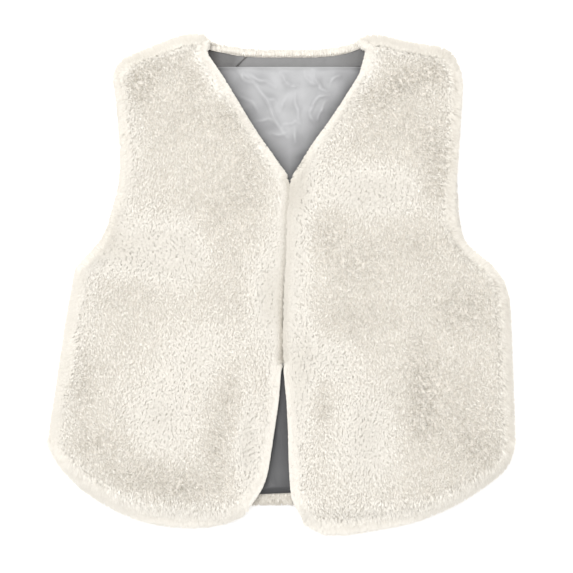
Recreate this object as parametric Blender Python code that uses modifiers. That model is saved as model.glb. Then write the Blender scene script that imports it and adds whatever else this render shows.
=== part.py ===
"""A child's faux fur vest with a V neck, an open front and a satin back lining, lying flat on its back.

The neck points to +Y, the front faces up (+Z) and the wearer's right is at -X. Everything is in metres.
The back panel lies on the ground, the lining and the neck facing lie on it, and the two fronts lie on top.
"""

from collections import namedtuple

import bpy
import numpy as np

# Heights of the layers above the ground, and the slack between them
SEAM_GAP = 0.0003
FUR_THICKNESS = 0.0115
BACK_TOP = 0.0097
CLOTH_THICKNESS = 0.0010
LINING_TOP = BACK_TOP + SEAM_GAP + CLOTH_THICKNESS
FRONT_UNDERSIDE = LINING_TOP + 0.0004
FRONT_TOP = FRONT_UNDERSIDE + FUR_THICKNESS
SEAM_HEIGHT = 0.0108

# How far an edge takes to round over, on the side that shows and on the side turned in
FREE_EDGE_ROUND = 0.0090
MEETING_EDGE_ROUND = 0.0040
SEAM_EDGE_ROUND = 0.0125
TURNED_EDGE_ROUND = 0.0060
BACK_EDGE_ROUND = 0.0050
EDGE_BLEND = 0.0060

# The back's neck edge is turned over as a fur roll, and its hem shows as a strip below the lining
NECK_ROLL_WIDTH = 0.0080
NECK_ROLL_RISE = 0.0034
NECK_ROLL_FADE = 0.0120
HEM_STRIP = 0.0100
LINING_INSET = 0.0120
LINING_TOP_EDGE = 0.1844
CREASE_FADE = 0.0040
FACING_BOTTOM_EDGE = LINING_TOP_EDGE + 0.0005
FACING_HIDDEN_END_RIGHT = -0.0660
FACING_HIDDEN_END_LEFT = 0.0730
FACING_SEAM_FOOT = -0.0370
FACING_SEAM_LEAN = 1.03
FACING_SEAM_GAP = 0.0010

# The fronts reach below the back's hem and sink towards the ground there
FRONT_HEM_SINK = 0.0095
SINK_ENDS = 0.0160
UNDERARM = 0.0120

# Between these heights the fronts meet, and their pile closes the groove between them
MEETING_TOP = 0.0900
MEETING_END = -0.0600

# Grid lines follow each edge at these distances
FRONT_EDGE_STEPS = (0.0, 0.0007, 0.0023, 0.0050, 0.0090, 0.0130)
FRONT_HEM_STEPS = FRONT_EDGE_STEPS + (0.0180, 0.0240)
BACK_EDGE_STEPS = (0.0, 0.0010, 0.0030, 0.0055, 0.0083)
CLOTH_EDGE_STEPS = (0.0,)

# Between the edges they lie at shares of the width or length: rows are closer where the armholes curve,
# and columns are closer at the neck, where the roll and the creases are
ARMHOLE_ROWS = np.linspace(0.32, 0.49, 8)
FRONT_NECK_ROWS = (0.04, 0.085, 0.13, 0.175, 0.22, 0.25, 0.272, 0.295)
FRONT_ROW_SHARES = (*FRONT_NECK_ROWS, *ARMHOLE_ROWS, 0.54, 0.61, 0.68, 0.76, 0.84, 0.91, 0.965)
BACK_ROW_SHARES = (0.05, 0.11, 0.17, 0.23, 0.28, *ARMHOLE_ROWS, 0.55, 0.64, 0.74, 0.85, 0.94)
NECK_ROLL_COLUMNS = (0.256, 0.282, 0.32, 0.37, 0.43, 0.49, 0.55, 0.61, 0.66, 0.70, 0.73)
BACK_COLUMN_SHARES = (0.08, 0.16, 0.22, *NECK_ROLL_COLUMNS, 0.77, 0.84, 0.92)
LINING_COLUMN_SHARES = (0.08, 0.16, *np.linspace(0.24, 0.76, 26), 0.84, 0.92)
LINING_ROW_SHARES = (*np.linspace(0.014, 0.27, 19), 0.34, 0.43, 0.53, 0.64, 0.75, 0.87)
FRONT_COLUMN_SHARES = np.linspace(0.1, 0.9, 9)
FACING_COLUMN_SHARES = np.linspace(0.06, 0.94, 16)
FACING_END_COLUMN_SHARES = np.linspace(0.17, 0.83, 5)
FACING_ROW_SHARES = (0.25, 0.5, 0.75)
SETTLING_ROUNDS = 40

Colour = namedtuple("Colour", "red green blue roughness")
FUR = Colour(0.86, 0.81, 0.73, 0.95)
LINING_SATIN = Colour(0.47, 0.48, 0.49, 0.42)
FACING_SATIN = Colour(0.33, 0.34, 0.35, 0.45)

# Where the armhole and side edges lie at each height, for the fronts and for the back
Side = namedtuple("Side", "height front_right front_left back_right back_left")
SIDES = [
    Side(0.1775, -0.1400, 0.1505, -0.1400, 0.1505),
    Side(0.1690, -0.1395, 0.1510, -0.1388, 0.1503),
    Side(0.1540, -0.1372, 0.1505, -0.1360, 0.1493),
    Side(0.1380, -0.1356, 0.1493, -0.1342, 0.1479),
    Side(0.1220, -0.1344, 0.1484, -0.1329, 0.1471),
    Side(0.1070, -0.1336, 0.1474, -0.1321, 0.1468),
    Side(0.0920, -0.1342, 0.1461, -0.1327, 0.1477),
    Side(0.0760, -0.1370, 0.1452, -0.1355, 0.1492),
    Side(0.0620, -0.1410, 0.1458, -0.1395, 0.1500),
    Side(0.0480, -0.1448, 0.1480, -0.1434, 0.1517),
    Side(0.0380, -0.1495, 0.1518, -0.1484, 0.1547),
    Side(0.0290, -0.1565, 0.1597, -0.1558, 0.1615),
    Side(0.0200, -0.1655, 0.1708, -0.1652, 0.1715),
    Side(0.0120, -0.1723, 0.1805, -0.1723, 0.1805),
    Side(0.0020, -0.1742, 0.1870, -0.1742, 0.1870),
    Side(-0.0080, -0.1760, 0.1908, -0.1760, 0.1908),
    Side(-0.0250, -0.1792, 0.1920, -0.1792, 0.1920),
    Side(-0.0620, -0.1848, 0.1933, -0.1848, 0.1933),
    Side(-0.1000, -0.1905, 0.1949, -0.1905, 0.1949),
    Side(-0.1330, -0.1954, 0.1957, -0.1954, 0.1957),
]

# The V neck and the front edges that meet below it, then part towards the hem
FrontEdge = namedtuple("FrontEdge", "height right left")
FRONT_EDGES = [
    FrontEdge(0.2054, -0.0596, 0.0638),
    FrontEdge(0.1980, -0.0616, 0.0688),
    FrontEdge(0.1915, -0.0590, 0.0712),
    FrontEdge(0.1845, -0.0538, 0.0692),
    FrontEdge(0.1775, -0.0490, 0.0648),
    FrontEdge(0.1640, -0.0411, 0.0565),
    FrontEdge(0.1508, -0.0325, 0.0481),
    FrontEdge(0.1373, -0.0248, 0.0389),
    FrontEdge(0.1239, -0.0160, 0.0289),
    FrontEdge(0.1105, -0.0062, 0.0202),
    FrontEdge(0.0990, 0.0018, 0.0130),
    FrontEdge(0.0895, 0.0074, 0.0080),
    FrontEdge(0.0760, 0.0074, 0.0078),
    FrontEdge(0.0600, 0.0054, 0.0058),
    FrontEdge(0.0300, 0.0041, 0.0045),
    FrontEdge(-0.0120, 0.0024, 0.0028),
    FrontEdge(-0.0500, 0.0012, 0.0016),
    FrontEdge(-0.0660, 0.0006, 0.0014),
    FrontEdge(-0.0911, -0.0012, 0.0038),
    FrontEdge(-0.1113, -0.0032, 0.0053),
    FrontEdge(-0.1315, -0.0071, 0.0059),
    FrontEdge(-0.1500, -0.0094, 0.0063),
    FrontEdge(-0.1651, -0.0132, 0.0071),
    FrontEdge(-0.1730, -0.0168, 0.0078),
    FrontEdge(-0.1785, -0.0202, 0.0084),
]

# Outlines that run across the vest
Point = namedtuple("Point", "across height")
SHOULDERS_AND_NECK = [
    Point(-0.1400, 0.1775),
    Point(-0.1369, 0.1844),
    Point(-0.1319, 0.1894),
    Point(-0.1134, 0.1974),
    Point(-0.0932, 0.2054),
    Point(-0.0832, 0.2087),
    Point(-0.0731, 0.2100),
    Point(-0.0647, 0.2087),
    Point(-0.0596, 0.2054),
    Point(-0.0479, 0.2029),
    Point(-0.0344, 0.2003),
    Point(-0.0120, 0.1990),
    Point(0.0240, 0.1990),
    Point(0.0395, 0.1998),
    Point(0.0529, 0.2020),
    Point(0.0638, 0.2054),
    Point(0.0714, 0.2087),
    Point(0.0806, 0.2093),
    Point(0.0916, 0.2071),
    Point(0.1033, 0.2041),
    Point(0.1168, 0.2016),
    Point(0.1302, 0.1999),
    Point(0.1386, 0.1970),
    Point(0.1453, 0.1911),
    Point(0.1505, 0.1775),
]
RIGHT_FRONT_HEM = [
    Point(-0.1954, -0.1330),
    Point(-0.1907, -0.1432),
    Point(-0.1840, -0.1533),
    Point(-0.1739, -0.1651),
    Point(-0.1554, -0.1790),
    Point(-0.1319, -0.1917),
    Point(-0.1151, -0.1980),
    Point(-0.0966, -0.2018),
    Point(-0.0748, -0.2032),
    Point(-0.0563, -0.2018),
    Point(-0.0412, -0.1980),
    Point(-0.0319, -0.1926),
    Point(-0.0260, -0.1863),
    Point(-0.0202, -0.1785),
]
LEFT_FRONT_HEM = [
    Point(0.0084, -0.1785),
    Point(0.0118, -0.1862),
    Point(0.0151, -0.1928),
    Point(0.0210, -0.2014),
    Point(0.0294, -0.2074),
    Point(0.0428, -0.2097),
    Point(0.0580, -0.2085),
    Point(0.0832, -0.2045),
    Point(0.1126, -0.1984),
    Point(0.1436, -0.1854),
    Point(0.1663, -0.1720),
    Point(0.1840, -0.1583),
    Point(0.1907, -0.1499),
    Point(0.1957, -0.1330),
]
BACK_HEM = [
    Point(-0.1954, -0.1330),
    Point(-0.1885, -0.1432),
    Point(-0.1772, -0.1542),
    Point(-0.1554, -0.1682),
    Point(-0.1319, -0.1780),
    Point(-0.1016, -0.1832),
    Point(-0.0500, -0.1854),
    Point(0.0050, -0.1850),
    Point(0.0664, -0.1852),
    Point(0.1084, -0.1832),
    Point(0.1336, -0.1780),
    Point(0.1588, -0.1658),
    Point(0.1772, -0.1530),
    Point(0.1885, -0.1435),
    Point(0.1957, -0.1330),
]

# Soft hollows and swells of the laid fur, and creases of the satin: middle, half sizes, turn and rise
Fold = namedtuple("Fold", "across height half_length half_width turn_deg rise")
RIGHT_FRONT_FOLDS = [
    Fold(-0.112, 0.172, 0.018, 0.014, 70, -0.0022),
    Fold(-0.085, 0.188, 0.020, 0.007, 85, 0.0012),
    Fold(-0.066, 0.172, 0.024, 0.009, 115, -0.0014),
    Fold(-0.036, 0.120, 0.045, 0.008, 125, -0.0012),
    Fold(-0.100, 0.060, 0.070, 0.028, 80, 0.0010),
    Fold(-0.060, -0.075, 0.065, 0.030, 70, 0.0014),
    Fold(-0.138, -0.125, 0.050, 0.022, 105, -0.0016),
    Fold(-0.045, -0.150, 0.030, 0.016, 60, -0.0012),
    Fold(-0.150, -0.040, 0.050, 0.016, 95, 0.0009),
]
LEFT_FRONT_FOLDS = [
    Fold(0.118, 0.174, 0.022, 0.015, 100, -0.0024),
    Fold(0.086, 0.184, 0.018, 0.008, 70, -0.0014),
    Fold(0.101, 0.188, 0.016, 0.006, 80, 0.0010),
    Fold(0.060, 0.130, 0.050, 0.010, 52, -0.0010),
    Fold(0.100, 0.060, 0.060, 0.025, 95, 0.0009),
    Fold(0.120, -0.085, 0.070, 0.026, 75, -0.0018),
    Fold(0.040, -0.090, 0.080, 0.022, 88, 0.0013),
    Fold(0.150, -0.020, 0.045, 0.018, 100, 0.0010),
    Fold(0.090, -0.165, 0.040, 0.018, 15, -0.0010),
]
LINING_CREASES = [
    Fold(-0.012, 0.144, 0.030, 0.0045, 116, 0.0020),
    Fold(-0.015, 0.174, 0.016, 0.0040, 148, 0.0015),
    Fold(0.003, 0.172, 0.012, 0.0045, 118, 0.0018),
    Fold(0.014, 0.160, 0.016, 0.0045, 88, 0.0012),
    Fold(0.031, 0.150, 0.013, 0.0040, 60, 0.0017),
    Fold(0.026, 0.138, 0.010, 0.0040, 105, 0.0013),
    Fold(0.034, 0.170, 0.010, 0.0045, 120, 0.0014),
    Fold(0.006, 0.128, 0.014, 0.0050, 70, 0.0012),
    Fold(-0.028, 0.160, 0.014, 0.0050, 130, 0.0009),
]


def curve_through(rows, key, value):
    """A smooth curve through two columns of a table, which never swings past its rows."""
    rows = sorted(rows, key=lambda row: getattr(row, key))
    keys = np.array([getattr(row, key) for row in rows])
    values = np.array([getattr(row, value) for row in rows])
    steps = np.diff(keys)
    secants = np.diff(values) / steps
    before, after = secants[:-1], secants[1:]
    turning = before * after <= 0
    even = np.where(turning, 1.0, before + after)
    slopes = np.concatenate(
        [secants[:1], np.where(turning, 0.0, 2 * before * after / even), secants[-1:]]
    )

    def at(position):
        position = np.clip(position, keys[0], keys[-1])
        i = np.clip(np.searchsorted(keys, position) - 1, 0, len(steps) - 1)
        share = (position - keys[i]) / steps[i]
        rest = 1 - share
        return (
            values[i] * rest**2 * (1 + 2 * share)
            + values[i + 1] * share**2 * (1 + 2 * rest)
            + steps[i] * share * rest * (slopes[i] * rest - slopes[i + 1] * share)
        )

    return at


def smooth_step(low, high, value):
    share = np.clip((value - low) / (high - low), 0, 1)
    return share**2 * (3 - 2 * share)


def raised(folds, x, y):
    """How far a list of folds lifts the cloth at each place."""
    rise = np.zeros_like(x)
    for fold in folds:
        turn = np.radians(fold.turn_deg)
        along = (x - fold.across) * np.cos(turn) + (y - fold.height) * np.sin(turn)
        aside = (y - fold.height) * np.cos(turn) - (x - fold.across) * np.sin(turn)
        spread = (along / fold.half_length) ** 2 + (aside / fold.half_width) ** 2
        rise += fold.rise * np.exp(-spread)
    return rise


# Outline curves that several pieces share
front_right_side = curve_through(SIDES, "height", "front_right")
front_left_side = curve_through(SIDES, "height", "front_left")
back_right_side = curve_through(SIDES, "height", "back_right")
back_left_side = curve_through(SIDES, "height", "back_left")
right_front_edge = curve_through(FRONT_EDGES, "height", "right")
left_front_edge = curve_through(FRONT_EDGES, "height", "left")
top_edge = curve_through(SHOULDERS_AND_NECK, "across", "height")
right_front_hem = curve_through(RIGHT_FRONT_HEM, "across", "height")
left_front_hem = curve_through(LEFT_FRONT_HEM, "across", "height")
back_hem = curve_through(BACK_HEM, "across", "height")


def stations(shares, near_steps, far_steps):
    """Grid lines as shares of a width with offsets: set distances from both edges, and shares between."""
    near = [(0.0, step) for step in near_steps]
    middle = [(share, near_steps[-1] * (1 - share) - far_steps[-1] * share) for share in shares]
    far = [(1.0, -step) for step in reversed(far_steps)]
    return np.array(near + middle + far)


def panel_grid(low_x, high_x, top_y, bottom_y, columns, rows):
    """Places a grid between two side curves, read by height, and a top and a bottom curve, read across."""
    share_x, offset_x = columns.T[:, :, None]
    share_y, offset_y = rows.T[:, None, :]
    x = np.zeros((len(columns), len(rows)))
    y = np.zeros_like(x)
    for _ in range(SETTLING_ROUNDS):
        low, high = low_x(y), high_x(y)
        x = low + (high - low) * share_x + offset_x
        top, bottom = top_y(x), bottom_y(x)
        y = 0.5 * y + 0.5 * (top + (bottom - top) * share_y - offset_y)
    return x, y


def rim_of(grid):
    """The values round the edge of a grid, once round."""
    return np.concatenate([grid[:, 0], grid[-1, 1:], grid[-2::-1, -1], grid[0, -2:0:-1]])


def to_rim(x, y):
    """Each grid point's distance to the panel's outline, and which rim point is nearest."""
    rim = np.stack([rim_of(x), rim_of(y)], 1)
    ahead = np.roll(rim, -1, 0) - rim
    point = np.stack([x, y], -1)[:, :, None, :]
    along = ((point - rim) * ahead).sum(-1) / np.maximum((ahead**2).sum(-1), 1e-16)
    foot = rim + np.clip(along, 0, 1)[..., None] * ahead
    distance = np.linalg.norm(point - foot, axis=-1)
    return distance.min(-1), distance.argmin(-1)


def blended_round_rim(x, y, values):
    """Evens out values along the outline, so that a seam edge turns into a free edge over a short way."""
    rim = np.stack([rim_of(x), rim_of(y)], 1)
    steps = np.linalg.norm(np.roll(rim, -1, 0) - rim, axis=1)
    at = np.concatenate([[0], np.cumsum(steps)[:-1]])
    apart = np.abs(at[:, None] - at[None, :])
    apart = np.minimum(apart, steps.sum() - apart)
    weight = np.exp(-((apart / EDGE_BLEND) ** 2)) * steps
    return (weight * values).sum(1) / weight.sum(1)


def rounded(distance, radius):
    """From 0 at an edge to 1 at the radius inside it, along a quarter of an ellipse."""
    inside = 1 - np.clip(distance / radius, 0, 1)
    return np.sqrt(1 - inside**2)


def surface_mesh(name, layers):
    """A mesh from one grid, or from an upper and a lower grid that share their rim."""
    vertices, faces = [], []
    number = []
    columns, rows = layers[0][0].shape
    for depth, (x, y, z) in enumerate(layers):
        index = np.arange(columns * rows).reshape(columns, rows) + len(vertices)
        kept = np.ones((columns, rows), bool)
        if depth:
            rim = np.ones((columns, rows), bool)
            rim[1:-1, 1:-1] = False
            kept = ~rim
            index = np.where(rim, number[0], 0)
            index[kept] = len(vertices) + np.arange(kept.sum())
        number.append(index)
        vertices += list(zip(x[kept], y[kept], z[kept]))
        corner = index[:-1, :-1], index[:-1, 1:], index[1:, 1:], index[1:, :-1]
        ring = corner if depth == 0 else corner[::-1]
        faces += list(zip(*(part.ravel().tolist() for part in ring)))
    mesh = bpy.data.meshes.new(name)
    mesh.from_pydata([tuple(map(float, point)) for point in vertices], [], faces)
    mesh.validate()
    mesh.shade_smooth()
    return mesh


def finish_of(name, colour):
    material = bpy.data.materials.new(name)
    material.use_nodes = True
    shader = material.node_tree.nodes["Principled BSDF"]
    shader.inputs["Base Color"].default_value = (colour.red, colour.green, colour.blue, 1)
    shader.inputs["Roughness"].default_value = colour.roughness
    shader.inputs["Metallic"].default_value = 0
    return material


def add_piece(name, mesh, colour, collection):
    mesh.materials.append(finish_of(name, colour))
    piece = bpy.data.objects.new(name, mesh)
    collection.objects.link(piece)
    return piece


def front_panel(name, low_x, high_x, hem, side_column, folds, collection):
    """A fur front. Its shoulder and side edges are seams; its armhole, V neck, front and hem are free.

    Where the two fronts meet, their edges are rounded less.
    """
    columns = stations(FRONT_COLUMN_SHARES, FRONT_EDGE_STEPS, FRONT_EDGE_STEPS)
    rows = stations(FRONT_ROW_SHARES, FRONT_EDGE_STEPS, FRONT_HEM_STEPS)
    x, y = panel_grid(low_x, high_x, top_edge, hem, columns, rows)
    sewn = np.zeros_like(x)
    sewn[:, 0] = 1
    sewn[side_column, y[side_column] < UNDERARM] = 1
    sewn[:, -1] = 0
    sewn = blended_round_rim(x, y, rim_of(sewn))
    distance, nearest = to_rim(x, y)
    sewn = sewn[nearest]
    meeting = np.zeros_like(x)
    front_height = y[-1 - side_column]
    meeting[-1 - side_column] = (front_height < MEETING_TOP) & (front_height > MEETING_END)
    meeting = blended_round_rim(x, y, rim_of(meeting))[nearest]
    sink = FRONT_HEM_SINK * smooth_step(0, SINK_ENDS, back_hem(x) - y)
    free_rim = (FRONT_TOP + FRONT_UNDERSIDE) / 2
    rim = free_rim + (SEAM_HEIGHT + SEAM_GAP / 2 - free_rim) * sewn
    edge_round = FREE_EDGE_ROUND + (SEAM_EDGE_ROUND - FREE_EDGE_ROUND) * sewn
    edge_round += (MEETING_EDGE_ROUND - FREE_EDGE_ROUND) * meeting
    over = rounded(distance, edge_round)
    under = rounded(distance, TURNED_EDGE_ROUND)
    top = FRONT_TOP + raised(folds, x, y)
    upper = rim + (top - rim) * over - sink
    lower = rim + (FRONT_UNDERSIDE - rim) * under - sink
    mesh = surface_mesh(name, [(x, y, upper), (x, y, lower)])
    return add_piece(name, mesh, FUR, collection)


def front_right(collection):
    side, edge, hem = front_right_side, right_front_edge, right_front_hem
    return front_panel("front_right", side, edge, hem, 0, RIGHT_FRONT_FOLDS, collection)


def front_left(collection):
    side, edge, hem = front_left_side, left_front_edge, left_front_hem
    return front_panel("front_left", edge, side, hem, -1, LEFT_FRONT_FOLDS, collection)


def back_panel(collection):
    """The fur back, flat on the ground, with a roll of turned fur along its neck edge."""
    columns = stations(BACK_COLUMN_SHARES, BACK_EDGE_STEPS, BACK_EDGE_STEPS)
    rows = stations(BACK_ROW_SHARES, BACK_EDGE_STEPS, BACK_EDGE_STEPS)
    x, y = panel_grid(back_right_side, back_left_side, top_edge, back_hem, columns, rows)
    neck_right, neck_left = FRONT_EDGES[0].right, FRONT_EDGES[0].left
    sewn = np.zeros_like(x)
    sewn[:, 0] = (x[:, 0] <= neck_right) | (x[:, 0] >= neck_left)
    for side in (0, -1):
        sewn[side, y[side] < UNDERARM] = 1
    sewn[:, -1] = 0
    sewn = blended_round_rim(x, y, rim_of(sewn))
    distance, nearest = to_rim(x, y)
    sewn = sewn[nearest]
    rim = BACK_TOP / 2 + (SEAM_HEIGHT - SEAM_GAP / 2 - BACK_TOP / 2) * sewn
    from_neck = top_edge(x) - y
    at_neck = smooth_step(0, NECK_ROLL_FADE, x - neck_right)
    at_neck *= smooth_step(0, NECK_ROLL_FADE, neck_left - x)
    across_roll = np.clip(from_neck / NECK_ROLL_WIDTH, 0, 1)
    roll = NECK_ROLL_RISE * at_neck * np.sin(np.pi * across_roll) ** 2 * (from_neck < NECK_ROLL_WIDTH)
    inwards = rounded(distance, BACK_EDGE_ROUND)
    upper = rim + (BACK_TOP - rim) * inwards + roll
    lower = rim - rim * inwards
    mesh = surface_mesh("back_panel", [(x, y, upper), (x, y, lower)])
    return add_piece("back_panel", mesh, FUR, collection)


def cloth_sheet(name, x, y, z, colour, collection):
    """A thin cloth whose upper face is the grid given, thickened downwards."""
    mesh = surface_mesh(name, [(x, y, z)])
    piece = add_piece(name, mesh, colour, collection)
    thicken = piece.modifiers.new("cloth", "SOLIDIFY")
    thicken.thickness = CLOTH_THICKNESS
    thicken.offset = -1
    return piece


def back_lining(collection):
    """The satin lining inside the back, creased where it shows in the neck, with a turned top edge."""
    columns = stations(LINING_COLUMN_SHARES, CLOTH_EDGE_STEPS, CLOTH_EDGE_STEPS)
    rows = stations(LINING_ROW_SHARES, CLOTH_EDGE_STEPS, CLOTH_EDGE_STEPS)
    x, y = panel_grid(
        lambda height: back_right_side(height) + LINING_INSET,
        lambda height: back_left_side(height) - LINING_INSET,
        lambda across: np.full_like(across, LINING_TOP_EDGE),
        lambda across: back_hem(across) + HEM_STRIP,
        columns,
        rows,
    )
    in_neck = smooth_step(-CREASE_FADE, CREASE_FADE, x - right_front_edge(y))
    in_neck *= smooth_step(-CREASE_FADE, CREASE_FADE, left_front_edge(y) - x)
    z = LINING_TOP + raised(LINING_CREASES, x, y) * in_neck
    return cloth_sheet("back_lining", x, y, z, LINING_SATIN, collection)


def facing_seam(height):
    """The slanting seam where the neck facing meets its end piece."""
    return FACING_SEAM_FOOT + FACING_SEAM_LEAN * (height - FACING_BOTTOM_EDGE)


def facing_piece(name, low_x, high_x, column_shares, collection):
    columns = stations(column_shares, CLOTH_EDGE_STEPS, CLOTH_EDGE_STEPS)
    rows = stations(FACING_ROW_SHARES, CLOTH_EDGE_STEPS, CLOTH_EDGE_STEPS)
    x, y = panel_grid(
        low_x,
        high_x,
        lambda across: top_edge(across) - NECK_ROLL_WIDTH - SEAM_GAP,
        lambda across: np.full_like(across, FACING_BOTTOM_EDGE),
        columns,
        rows,
    )
    z = np.full_like(x, LINING_TOP)
    return cloth_sheet(name, x, y, z, FACING_SATIN, collection)


def neck_facing(collection):
    return facing_piece(
        "neck_facing",
        lambda height: facing_seam(height) + FACING_SEAM_GAP / 2,
        lambda height: np.full_like(height, FACING_HIDDEN_END_LEFT),
        FACING_COLUMN_SHARES,
        collection,
    )


def neck_facing_end(collection):
    return facing_piece(
        "neck_facing_end",
        lambda height: np.full_like(height, FACING_HIDDEN_END_RIGHT),
        lambda height: facing_seam(height) - FACING_SEAM_GAP / 2,
        FACING_END_COLUMN_SHARES,
        collection,
    )


def main():
    for leftover in list(bpy.data.objects):
        bpy.data.objects.remove(leftover)
    vest = bpy.data.collections.new("faux_fur_vest")
    bpy.context.scene.collection.children.link(vest)
    back_panel(vest)
    back_lining(vest)
    neck_facing(vest)
    neck_facing_end(vest)
    front_right(vest)
    front_left(vest)


main()
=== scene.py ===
"""The looks of a child's faux fur vest, lying flat on its back: plush panels, satin lining and neck facing.

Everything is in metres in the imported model's frame: +X to the wearer's left, +Y to the neck, +Z up.
"""

from collections import namedtuple

import bpy
import numpy as np
from mathutils.bvhtree import BVHTree
from mathutils.kdtree import KDTree
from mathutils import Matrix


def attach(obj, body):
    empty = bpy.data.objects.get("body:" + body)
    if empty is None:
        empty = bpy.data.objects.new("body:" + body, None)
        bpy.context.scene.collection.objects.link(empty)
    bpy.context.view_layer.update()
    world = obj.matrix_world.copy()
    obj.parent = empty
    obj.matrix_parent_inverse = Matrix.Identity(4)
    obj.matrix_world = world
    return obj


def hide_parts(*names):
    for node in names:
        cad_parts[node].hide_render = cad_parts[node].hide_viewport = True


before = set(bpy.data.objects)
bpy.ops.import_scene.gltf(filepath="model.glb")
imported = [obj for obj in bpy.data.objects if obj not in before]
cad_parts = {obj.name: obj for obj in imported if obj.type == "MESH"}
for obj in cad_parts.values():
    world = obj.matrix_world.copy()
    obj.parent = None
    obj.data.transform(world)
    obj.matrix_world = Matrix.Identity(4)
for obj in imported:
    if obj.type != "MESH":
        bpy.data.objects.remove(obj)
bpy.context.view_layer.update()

BODY = "root"
MM = 0.001
UP = np.array([0, 0, 1])
SEED = 20

# The plush: how far apart its tufts stand, and how deep and how far over its pile lies
TUFT_SPACING = 1.14 * MM
TUFT_ROOT_REACH = 0.85 * MM
PILE_DEPTH = 4.4 * MM
PILE_LEAN = 3.1 * MM
STRAND_HALF_WIDTH = 0.265 * MM
STRANDS_A_TUFT = 4
LOCK_SPACING = 2.7 * MM
LOCK_STRETCH = 1.25, 0.8, 1.0
# How strongly the partings between locks are painted darker, as shade, and their middles paler
LOCK_CONTRAST = 1.6
BACKING_DEPTH = 3.6 * MM
HIDDEN_BACKING_DEPTH = 0.8 * MM

# One strand: where it bends, how far its tip strays, and how much it rolls with its tuft and on its own
BEND_RISE = 0.62
BEND_LEAN = 0.30
TIP_STRAY = 0.42 * MM
FARTHEST_STRAY = 0.8 * MM
TUFT_ROLL = 0.10
STRAND_ROLL = 0.40

# The darkest tone that a strand can have; 1 is the palest
DARKEST_TONE = -0.75

# A front's edge: how wide it is combed over, how sharply that fades, and how far its pile hangs past it
EDGE_NAP = 9.5 * MM
EDGE_FADE = 1.35
EDGE_OVERHANG = 3.2 * MM
TOP_EDGE_OVERHANG = 1.0 * MM
OVERHANG_FADE = 5.0 * MM
FRINGE = 6.0 * MM
RAISED_FRINGE = 7.0 * MM
FRINGE_FINENESS = 0.85

# Heights on the vest, from hem to neck, between which a front's edge changes
NECKLINE_FOOT = 0.080, 0.092
NECKLINE_CORNER = 0.083, 0.088, 0.100, 0.114
NECKLINE_END = 0.1965, 0.1985
SHOULDERS = 0.14, 0.17
TOP_EDGES = 0.12, 0.16
LOW_EDGES = 0.01, 0.06
LOW_SIDES = 0.0, 0.05
GAP_NARROWED = -0.030, -0.045, -0.066, -0.074
GAP_WIDENED = -0.012, -0.035, -0.085, -0.110

# Where the fronts meet, the pile closes over the groove between them, and fades in and out at these heights
BRIDGE_HEIGHT = 22.2 * MM
BRIDGE_STEP = 1.2 * MM
MEETING_LOW = -0.072, -0.062
MEETING_HIGH = 0.086, 0.095

# The back's plush shows as a roll at the neck and a strip at the hem, and lies pressed on the ground below
NECK_ROLL = 7.5 * MM
HEM_STRIP = 9.6 * MM
COVERED_RIM = 5.0 * MM
ROLL_PILE_DEPTH = 3.0 * MM
ROLL_BACKING_DEPTH = 2.55 * MM
ROLL_PILE_LEAN = 2.4 * MM
ROLL_OVERHANG = 1.8 * MM
ROLL_TUFT_STRANDS = 7
BACK_TUFT_SPACING = 1.5 * MM
UNDERSIDE_SPACING = 4.8 * MM
UNDERSIDE_DEPTH = 1.3 * MM
UNDERSIDE_LEAN = 8.5 * MM
GROUND_CLEARANCE = 0.2 * MM

# How a trait of a front's nap runs: its value in the plain field, what settled, ruffled and edge places add,
# and its least and most
Trait = namedtuple("Trait", "field settled ruffled edge least most")
LEAN = Trait(1.0, 0.2, -0.1, 0.35, 0, 2)
DEPTH = Trait(1.0, -0.15, 0.0, -0.2, 0, 1)
WIDTH = Trait(1.0, 0.5, -0.1, 0.4, 0, 2)
FOOT = Trait(0.16, 0.74, -0.08, 0.0, 0, 1)
GATHER = Trait(0.35, -0.30, 0.20, -0.30, 0.02, 0.9)
CALM = Trait(0.14, 0.83, -0.10, 0.95, 0, 1)
UNEVEN = Trait(0.34, -0.29, 0.24, -0.28, 0.03, 0.7)
GRAIN = Trait(0.31, -0.28, 0.24, -0.27, 0.02, 0.6)

# The satin: its solids' thickness and upper face, its own thickness, and how far the fronts' shade reaches
LINING_THICKNESS = 1.0 * MM
FACE_HEIGHT = 11.0 * MM
SATIN_THICKNESS = 0.6 * MM
FRONT_SHADE = 11.0 * MM
# Where the facing's slanting seam, painted dark as shade, starts and how it leans
FACING_SEAM_FOOT = -37 * MM
FACING_SEAM_LEAN = 1.03
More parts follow.
